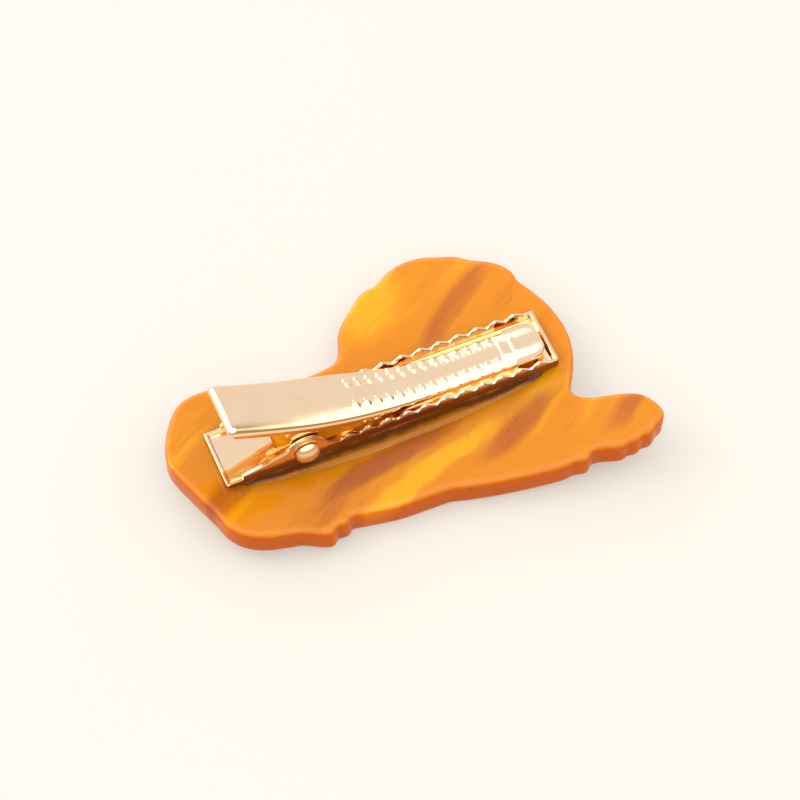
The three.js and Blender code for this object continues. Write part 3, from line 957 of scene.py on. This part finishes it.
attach(build_plate(), "plate_and_tray")
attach(build_glue(), "plate_and_tray")
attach(build_tray(), "plate_and_tray")
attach(build_pin(), "plate_and_tray")
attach(build_lever(), "lever")
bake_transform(build_spring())


# ---- studio ----
FLOOR_TONES = [(0.346, 0.322, 0.249, 1), (0.350, 0.326, 0.253, 1)]
FLOOR_HALF = 1.5
FLOOR_Z = -0.05 * MM               # just below the plate, whose underside touches zero
FLOOR_GLOW = (1.0, 0.956, 0.865, 1)
FLOOR_GLOW_STRENGTH = 0.38


def build_floor():
    """A pale, softly backlit table that keeps the object's shadow light."""
    nodes = Nodes("pale_floor")
    soft = nodes.noise(nodes.coords, 6.0, detail=2.0).outputs["Fac"]
    material = nodes.finish(
        Base_Color=nodes.blend(nodes.remap(soft, 0.3, 0.7), *FLOOR_TONES), Roughness=0.9,
        Specular_IOR_Level=0.0, Emission_Color=FLOOR_GLOW, Emission_Strength=FLOOR_GLOW_STRENGTH)
    mesh = bpy.data.meshes.new("studio_floor")
    corners = [(x * FLOOR_HALF, y * FLOOR_HALF, FLOOR_Z) for x, y in ((-1, -1), (1, -1), (1, 1), (-1, 1))]
    mesh.from_pydata(corners, [], [(0, 1, 2, 3)])
    mesh.materials.append(material)
    floor = bpy.data.objects.new("studio_floor", mesh)
    bpy.context.scene.collection.objects.link(floor)


def add_light(name, location, size, power):
    """A softbox aimed at the object."""
    light = bpy.data.lights.new(name, "AREA")
    light.shape = "RECTANGLE"
    light.size, light.size_y = size
    light.energy = power
    holder = bpy.data.objects.new(name, light)
    holder.location = location
    holder.rotation_euler = (-Vector(location)).to_track_quat("-Z", "Y").to_euler()
    bpy.context.scene.collection.objects.link(holder)


SOFTBOX = (2.15, 2.15, 2.55, 1)        # the lit cloth, which is most of the tent
BACKDROP = (0.95, 0.96, 1.22, 1)       # a dimmer part over the far side
HORIZON = (0.42, 0.36, 0.28, 1)        # the unlit low part on the near side

# Where the tent's parts meet, by the x (along), y (across) and z (up) of the direction looked in. They
# are set so that the metal, seen from this camera, shows the photograph's reflections.
NEAR_EDGE = (0.35, 0.375)
BACKDROP_ACROSS = (0.57, 0.63)
BACKDROP_LEFT = (-0.20, -0.08)
BACKDROP_RIGHT = (0.24, 0.36)
HORIZON_UP = (0.42, 0.60)
KEY_PLACE = (-0.35, 0.25, 0.50)
KEY_SIZE = (0.30, 0.30)
KEY_POWER = 0.9


def build_world():
    """A light tent of lit cloth, with a dimmer part over the far side and a dark low near side."""
    world = bpy.data.worlds.new("studio")
    bpy.context.scene.world = world
    world.use_nodes = True
    tree = world.node_tree
    direction = tree.nodes.new("ShaderNodeTexCoord").outputs["Generated"]
    split = tree.nodes.new("ShaderNodeSeparateXYZ")
    tree.links.new(direction, split.inputs[0])
    along, across, up = split.outputs

    def ramp(socket, edge):
        node = tree.nodes.new("ShaderNodeMapRange")
        node.interpolation_type = "SMOOTHSTEP"
        node.inputs[1].default_value, node.inputs[2].default_value = edge
        tree.links.new(socket, node.inputs[0])
        return node.outputs[0]

    def blend(share, first, second):
        node = tree.nodes.new("ShaderNodeMix")
        node.data_type = "RGBA"
        tree.links.new(share, node.inputs[0])
        for value, socket in ((first, node.inputs[6]), (second, node.inputs[7])):
            if isinstance(value, bpy.types.NodeSocket):
                tree.links.new(value, socket)
            else:
                socket.default_value = value
        return node.outputs[2]

    beyond = blend(ramp(across, BACKDROP_ACROSS), BACKDROP, SOFTBOX)
    right_part = blend(ramp(along, BACKDROP_RIGHT), beyond, BACKDROP)
    far_sky = blend(ramp(along, BACKDROP_LEFT), SOFTBOX, right_part)
    near_sky = blend(ramp(up, HORIZON_UP), HORIZON, SOFTBOX)
    sky = blend(ramp(across, NEAR_EDGE), near_sky, far_sky)
    tree.links.new(sky, tree.nodes["Background"].inputs["Color"])


CAMERA_TARGET = (2.112, -0.617, 0.0)
CAMERA_AZIMUTH = math.radians(-23.48)
CAMERA_ELEVATION = math.radians(58.65)
CAMERA_DISTANCE = 0.3266
CAMERA_LENS = 117


def build_camera():
    data = bpy.data.cameras.new("camera")
    data.lens = CAMERA_LENS
    data.sensor_width = 36
    data.clip_start = 0.01
    back = Vector((
        math.sin(CAMERA_AZIMUTH) * math.cos(CAMERA_ELEVATION),
        -math.cos(CAMERA_AZIMUTH) * math.cos(CAMERA_ELEVATION),
        math.sin(CAMERA_ELEVATION)))
    camera = bpy.data.objects.new("camera", data)
    camera.location = place(*CAMERA_TARGET) + back * CAMERA_DISTANCE
    camera.rotation_euler = (-back).to_track_quat("-Z", "Y").to_euler()
    bpy.context.scene.collection.objects.link(camera)
    bpy.context.scene.camera = camera


build_floor()
build_world()
add_light("key_softbox", KEY_PLACE, KEY_SIZE, KEY_POWER)
build_camera()
bpy.context.scene.view_settings.view_transform = "Standard"
bpy.context.scene.cycles.glossy_bounces = 10
bpy.context.scene.cycles.max_bounces = 16
